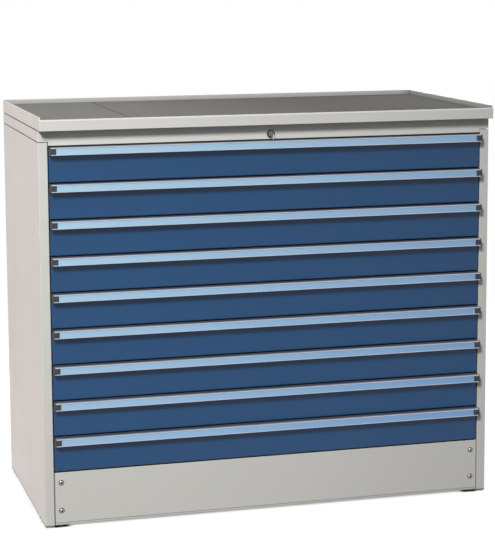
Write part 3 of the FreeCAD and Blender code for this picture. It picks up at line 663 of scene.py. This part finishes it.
tree, shader = finish("label_strip", Specular_IOR_Level=0.4, Coat_Weight=0.5, Coat_Roughness=0.12)
place = object_place(tree)
fibre = noise(tree, stretched(tree, place, (300.0, 900.0, 1500.0)), 1.0, 3.0, 0.7)
cloud = noise(tree, place, 5.0, 2.0)
tone = calc(tree, "ADD", from_noise(tree, fibre, 0.965, 1.02), from_noise(tree, cloud, -0.02, 0.02))
where = axes(tree, place)
painted_highlight = calc(tree, "ADD", spread(tree, where["X"], -0.6, 0.6, HIGHLIGHT_ACROSS, 0.0),
                spread(tree, where["Z"], 0.2, 1.05, 0.0, HIGHLIGHT_UPWARDS))
card = mixed_colour(tree, painted_highlight, CARD_BLUE, CARD_HIGHLIT)
tree.links.new(tinted(tree, card, tone), shader.inputs["Base Color"])
tree.links.new(from_noise(tree, fibre, 0.42, 0.58), shader.inputs["Roughness"])
bumped(tree, shader, fibre, 0.00001)
print("finish label_strip")

# %% [markdown]
# ### The mat's pattern and painted light
# The mat shows faint streaks along its ribs, a painted shade in the joint between its two lengths, and a
# painted sheen that makes its left part paler. The three could be three layers of colour, but each only makes
# the same rubber lighter or darker, so they are multiplied into one tone.

# %% Mat tone
JOINT_X = -0.383                              # where the two lengths meet
STREAK_STRETCH = (110.0, 0.5, 1.0)            # fine across the ribs and long along them
SHEEN_X, NO_SHEEN_X, SHEEN_GAIN = -0.45, 0.25, 1.70     # where the painted sheen is strongest and has ended, and how much paler it makes the mat
JOINT_DARK, JOINT_GONE = 0.001, 0.006         # distances at which the painted shade at the joint is darkest, and has ended


def mat_tone(tree, place):
    """Streaks, painted shade at the joint and a painted sheen on the left part, as one factor."""
    along = noise(tree, stretched(tree, place, STREAK_STRETCH), 1.0, 2.0, 0.5)
    across = axes(tree, place)["X"]
    from_joint = calc(tree, "ABSOLUTE", calc(tree, "SUBTRACT", across, JOINT_X))
    lines = calc(tree, "MULTIPLY", from_noise(tree, along, 0.90, 1.10),
                 spread(tree, from_joint, JOINT_DARK, JOINT_GONE, 0.55, 1.0))
    return calc(tree, "MULTIPLY", lines, spread(tree, across, SHEEN_X, NO_SHEEN_X, SHEEN_GAIN, 1.0))


print("mat joint at x =", JOINT_X)

# %% [markdown]
# ### Plastic and rubber
# The end caps are moulded in dark grey plastic with an eroded, slightly sparkling texture. The feet and the
# mat are rubber, which is matt, picks up dust, and is a little cloudy from moulding. They share fine pits, a
# cloudy tone and settled dust, so one function makes them, and the mat adds its own pattern.

# %% Plastic and rubber
# the dark colour of the painted shade in corners
MOULD_SHADE = (0.012, 0.011, 0.010)


def moulded(name, colour, roughness, grain, grain_depth, dustiness, dust_colour, reach=0.003, pattern=None):
    """Moulded plastic or rubber. grain is the size of its pits, and pattern a function for a further tone."""
    tree, shader = finish(name, Specular_IOR_Level=0.35)
    place = object_place(tree)
    pits = noise(tree, place, 1.0 / grain, 3.0, 0.6)
    cloud = noise(tree, place, 7.0, 4.0, 0.6)
    settled = place_group(tree, dust, Amount=dustiness, Patch_size=0.05)
    edges = place_group(tree, edge_wear_and_highlight, Width=0.0008)
    corner_shade = place_group(tree, painted_corner_shade, Reach=reach, Amount=0.8)
    tone = calc(tree, "ADD", from_noise(tree, cloud, 0.90, 1.08), from_noise(tree, pits, -0.06, 0.06))
    if pattern:
        tone = calc(tree, "MULTIPLY", tone, pattern(tree, place))
    # edges lightened: partly wear, partly a painted highlight
    shine = calc(tree, "ADD", 1.0, calc(tree, "MULTIPLY", edges["Mask"], 0.35))
    dusty = mixed_colour(tree, settled["Mask"], tinted(tree, tinted(tree, colour, tone), shine), dust_colour)
    # painted shade: corners within reach are mixed toward a dark colour
    tree.links.new(mixed_colour(tree, corner_shade["Mask"], dusty, MOULD_SHADE), shader.inputs["Base Color"])
    rough = calc(tree, "ADD", from_noise(tree, cloud, roughness - 0.07, roughness + 0.07),
                 calc(tree, "MULTIPLY", settled["Mask"], 0.25))
    tree.links.new(rough, shader.inputs["Roughness"])
    bumped(tree, shader, pits, grain_depth)
    print("finish", name)


moulded("cap_plastic", (0.043, 0.044, 0.053), roughness=0.45, grain=0.0007, grain_depth=0.00006,
        dustiness=0.15, dust_colour=(0.30, 0.29, 0.28))
moulded("mat_rubber", (0.116, 0.111, 0.101), roughness=0.70, grain=0.0012, grain_depth=0.00004,
        dustiness=0.35, dust_colour=(0.28, 0.27, 0.255), reach=0.012, pattern=mat_tone)
moulded("foot_rubber", (0.010, 0.010, 0.011), roughness=0.70, grain=0.0010, grain_depth=0.00010,
        dustiness=0.04, dust_colour=(0.10, 0.095, 0.09))

# %% [markdown]
# ## Giving the CAD parts their finish
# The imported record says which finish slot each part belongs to, and the finishes above carry the same names,
# so the parts can be dressed in one loop.

# %% Dress the CAD parts
for row in frame["record"]["subparts"]:
    for material_slot in nodes[row["node"]].material_slots:
        material_slot.material = FINISHES[row["material_slot"]]

# %% [markdown]
# ## Geometry Nodes for what repeats
# The mat's ribs, the slots of the divider strips and the rivets at the back are each one small shape placed
# many times. They could be copied in a loop, but a Geometry Nodes tree makes such a row from a few named
# sizes, which can be changed afterwards. Each result is turned into a plain mesh, because instances and live
# modifiers don't survive the export.

# %% Helpers for Geometry Nodes
SOCKETS = {float: "NodeSocketFloat", int: "NodeSocketInt", tuple: "NodeSocketVector"}


def shape_tree(name, inputs):
    """A geometry tree with named inputs and a Material input; returns it with its inputs."""
    group = bpy.data.node_groups.new(name, "GeometryNodeTree")
    for label, default in inputs.items():
        socket = group.interface.new_socket(label, in_out="INPUT", socket_type=SOCKETS[type(default)])
        socket.default_value = default
    group.interface.new_socket("Material", in_out="INPUT", socket_type="NodeSocketMaterial")
    group.interface.new_socket("Geometry", in_out="OUTPUT", socket_type="NodeSocketGeometry")
    return group, add(group, "NodeGroupInput").outputs


def close_tree(group, geometry, material):
    """Ends a tree in Realize Instances and Set Material."""
    real = add(group, "GeometryNodeRealizeInstances", {}, {0: geometry}).outputs[0]
    dressed = add(group, "GeometryNodeSetMaterial", {}, {"Geometry": real, "Material": material}).outputs[0]
    add(group, "NodeGroupOutput", {}, {0: dressed})
    print("tree", group.name)


def grown(name, group, body, slot, smooth=False, **sizes):
    """A plain mesh piece made by a tree with these sizes, riding on a body."""
    seed = bpy.data.objects.new(name, bpy.data.meshes.new(name))
    bpy.context.scene.collection.objects.link(seed)
    modifier = seed.modifiers.new("shape", "NODES")
    modifier.node_group = group
    sockets = {item.name: item.identifier for item in group.interface.items_tree if item.in_out == "INPUT"}
    for label, value in sizes.items():
        modifier[sockets[label.replace("_", " ")]] = value
    modifier[sockets["Material"]] = FINISHES[slot]
    ready = seed.evaluated_get(bpy.context.evaluated_depsgraph_get())
    mesh = bpy.data.meshes.new_from_object(ready)
    seed.modifiers.clear()
    seed.data = mesh
    mesh.name = name
    mesh.shade_smooth() if smooth else mesh.shade_flat()
    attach(seed, body)
    return seed


print("tree helpers ready")

# %% [markdown]
# ### Small bricks for the trees
# A strip or a sheet is built from bricks, moved and joined. Three short helpers keep the trees readable.

# %% Helpers for the shapes in a tree
def vector(tree, x, y, z):
    return add(tree, "ShaderNodeCombineXYZ", {}, {0: x, 1: y, 2: z}).outputs[0]


def brick(tree, width, depth, height, x=0.0, y=0.0, z=0.0):
    """A cube of these sizes, centred on a point."""
    cube = add(tree, "GeometryNodeMeshCube", {}, {"Size": vector(tree, width, depth, height)}).outputs[0]
    return add(tree, "GeometryNodeTransform", {}, {
        "Geometry": cube, "Translation": vector(tree, x, y, z)}).outputs[0]


def joined_and_moved(tree, geometries, translation):
    joined = add(tree, "GeometryNodeJoinGeometry")
    for geometry in geometries:
        tree.links.new(geometry, joined.inputs[0])
    return add(tree, "GeometryNodeTransform", {}, {
        "Geometry": joined.outputs[0], "Translation": translation}).outputs[0]


def row_of(tree, shape, count, first, spacing):
    """A shape placed count times along X, from a first point."""
    points = add(tree, "GeometryNodeMeshLine", {}, {
        "Count": count, "Start Location": first, "Offset": vector(tree, spacing, 0.0, 0.0)}).outputs[0]
    return add(tree, "GeometryNodeInstanceOnPoints", {}, {"Points": points, "Instance": shape}).outputs[0]


print("shape helpers ready")

# %% [markdown]
# ## The rubber mat
# The mat is fine-ribbed rubber sheet, with the ribs running from front to back. The ribs could be a bump in
# the material, but they are real ridges here, so that the mat's surface and its cut ends look right from
# close by. One long rounded rib, a flattened cylinder, is repeated over a thin base sheet.

# %% Ribbed sheet tree
ribbed_sheet, given = shape_tree("ribbed_sheet", {
    "Corner": (0.0, 0.0, 0.0), "Width": 1.0, "Depth": 0.6, "Base": 0.002, "Rib pitch": 0.003,
    "Rib width": 0.0019, "Rib height": 0.001})
half_width = calc(ribbed_sheet, "DIVIDE", given["Width"], 2.0)
half_depth = calc(ribbed_sheet, "DIVIDE", given["Depth"], 2.0)
half_base = calc(ribbed_sheet, "DIVIDE", given["Base"], 2.0)
base = brick(ribbed_sheet, given["Width"], given["Depth"], given["Base"], half_width, half_depth, half_base)
rib = add(ribbed_sheet, "GeometryNodeMeshCylinder", {"fill_type": "NGON"}, {
    "Vertices": 8, "Radius": 0.5, "Depth": given["Depth"]}).outputs[0]
laid_down = add(ribbed_sheet, "GeometryNodeTransform", {}, {
    "Geometry": rib, "Rotation": (math.pi / 2, 0.0, 0.0)}).outputs[0]
twice_height = calc(ribbed_sheet, "MULTIPLY", given["Rib height"], 2.0)
flattened = add(ribbed_sheet, "GeometryNodeTransform", {}, {
    "Geometry": laid_down, "Scale": vector(ribbed_sheet, given["Rib width"], 1.0, twice_height)}).outputs[0]
count = calc(ribbed_sheet, "FLOOR", calc(ribbed_sheet, "DIVIDE", given["Width"], given["Rib pitch"]))
used = calc(ribbed_sheet, "MULTIPLY", count, given["Rib pitch"])
spare = calc(ribbed_sheet, "SUBTRACT", given["Width"], used)
first = calc(ribbed_sheet, "DIVIDE", calc(ribbed_sheet, "ADD", given["Rib pitch"], spare), 2.0)
ribs = row_of(ribbed_sheet, flattened, count, vector(ribbed_sheet, first, half_depth, given["Base"]),
              given["Rib pitch"])
close_tree(ribbed_sheet, joined_and_moved(ribbed_sheet, (base, ribs), given["Corner"]), given["Material"])

# %% [markdown]
# ### Two lengths of mat
# Such a mat is cut from a roll one metre wide. The worktop is wider than the roll, so it is laid in two
# lengths with a joint near the left. Two pieces with a hair's gap show that joint better than a drawn line.

# %% The two lengths of mat
JOINT_GAP = 0.0012                            # on each side of the joint
RIB_HEIGHT = 0.0006                           # above the base sheet
mat_low, mat_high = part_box("ribbed_mat")
for name, start, end in (("mat_left", mat_low.x, JOINT_X - JOINT_GAP),
                         ("mat_right", JOINT_X + JOINT_GAP, mat_high.x)):
    length = grown(name, ribbed_sheet, "carcass", "mat_rubber", Corner=(start, mat_low.y, mat_low.z),
                   Width=end - start, Depth=mat_high.y - mat_low.y, Base=mat_high.z - mat_low.z - RIB_HEIGHT,
                   Rib_height=RIB_HEIGHT)
    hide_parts("ribbed_mat")
    print(name, "is", round(end - start, 3), "m wide with", len(length.data.polygons), "faces")

# %% [markdown]
# ## Divider strips in the drawers
# Shallow drawers like these are divided with thin plates, which drop into slotted strips along the front and
# back walls. A strip is a long sheet with a row of upright slots. Cutting slots with booleans would be slow
# and leave untidy faces, so each strip is built from two long rails and a row of short bars between them.

# %% Slotted strip tree
slotted_strip, given = shape_tree("slotted_strip", {
    "Start": (0.0, 0.0, 0.0), "Length": 1.2, "Height": 0.06, "Thickness": 0.0008, "Slot pitch": 0.025,
    "Slot width": 0.0025, "Edge": 0.008})
half_length = calc(slotted_strip, "DIVIDE", given["Length"], 2.0)
half_height = calc(slotted_strip, "DIVIDE", given["Height"], 2.0)
half_edge = calc(slotted_strip, "DIVIDE", given["Edge"], 2.0)
top_z = calc(slotted_strip, "SUBTRACT", given["Height"], half_edge)
rail = (given["Length"], given["Thickness"], given["Edge"])
low_rail = brick(slotted_strip, *rail, half_length, 0.0, half_edge)
high_rail = brick(slotted_strip, *rail, half_length, 0.0, top_z)
bar_width = calc(slotted_strip, "SUBTRACT", given["Slot pitch"], given["Slot width"])
both_edges = calc(slotted_strip, "MULTIPLY", given["Edge"], 2.0)
bar = brick(slotted_strip, bar_width, given["Thickness"],
            calc(slotted_strip, "SUBTRACT", given["Height"], both_edges))
count = calc(slotted_strip, "FLOOR", calc(slotted_strip, "DIVIDE", given["Length"], given["Slot pitch"]))
taken = calc(slotted_strip, "MULTIPLY", calc(slotted_strip, "SUBTRACT", count, 1.0), given["Slot pitch"])
first = calc(slotted_strip, "DIVIDE", calc(slotted_strip, "SUBTRACT", given["Length"], taken), 2.0)
bars = row_of(slotted_strip, bar, count, vector(slotted_strip, first, 0.0, half_height), given["Slot pitch"])
strip = joined_and_moved(slotted_strip, (low_rail, high_rail, bars), given["Start"])
close_tree(slotted_strip, strip, given["Material"])

# %% [markdown]
# ### Two strips in each drawer
# One strip stands against the front wall and one against the back wall of every box, a little above its
# floor. Each rides on its own drawer, so the strips are made drawer by drawer, not as one row.

# %% Strips
STRIP_HALF = 0.5995                           # half its length
STRIP_HEIGHT = 0.058
STRIP_LIFT = 0.014                            # above the foot of the box
BOX_DEPTH = 580.8 * MM                        # inside, from the front wall to the back wall
FRONT_WALL = face + 16.0 * MM                 # inner faces of the two walls
BACK_WALL = FRONT_WALL + BOX_DEPTH
STAND_OFF = 0.6 * MM                          # of the strip's middle from its wall
for number in range(1, DRAWERS + 1):
    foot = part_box(f"drawer_{number}_box")[0].z
    for side, y in (("front", FRONT_WALL + STAND_OFF), ("back", BACK_WALL - STAND_OFF)):
        grown(f"drawer_{number}_{side}_strip", slotted_strip, f"drawer_{number}", "slide_steel",
              Start=(-STRIP_HALF, y, foot + STRIP_LIFT), Length=2 * STRIP_HALF, Height=STRIP_HEIGHT)
print("strips:", 2 * DRAWERS)

# %% [markdown]
# ## Rivets along the foot of the back panel
# The back sheet is held to the turned-down edge of the floor by a row of blind rivets. A rivet head is a low
# dome, so a squashed sphere is repeated along the row; its inner half is inside the sheet.

# %% Rivets
rivet_row, given = shape_tree("rivet_row", {
    "Start": (0.0, 0.0, 0.0), "Count": 9, "Spacing": 0.15, "Head radius": 0.0032, "Head height": 0.0011})
dome = add(rivet_row, "GeometryNodeMeshUVSphere", {}, {"Segments": 16, "Rings": 8, "Radius": 1.0}).outputs[0]
head_size = vector(rivet_row, given["Head radius"], given["Head height"], given["Head radius"])
head = add(rivet_row, "GeometryNodeTransform", {}, {"Geometry": dome, "Scale": head_size}).outputs[0]
heads = row_of(rivet_row, head, given["Count"], given["Start"], given["Spacing"])
close_tree(rivet_row, heads, given["Material"])

RIVETS, SPACING = 9, 0.15
BELOW_FLOOR_SHEET = 0.006
back_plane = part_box("back_panel")[1].y
rivet_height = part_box("base_pan")[1].z - BELOW_FLOOR_SHEET
grown("back_rivets", rivet_row, "carcass", "screw_steel", smooth=True,
      Start=(-SPACING * (RIVETS - 1) / 2, back_plane, rivet_height), Count=RIVETS, Spacing=SPACING)
print("rivets:", RIVETS, "at z =", round(rivet_height, 4))
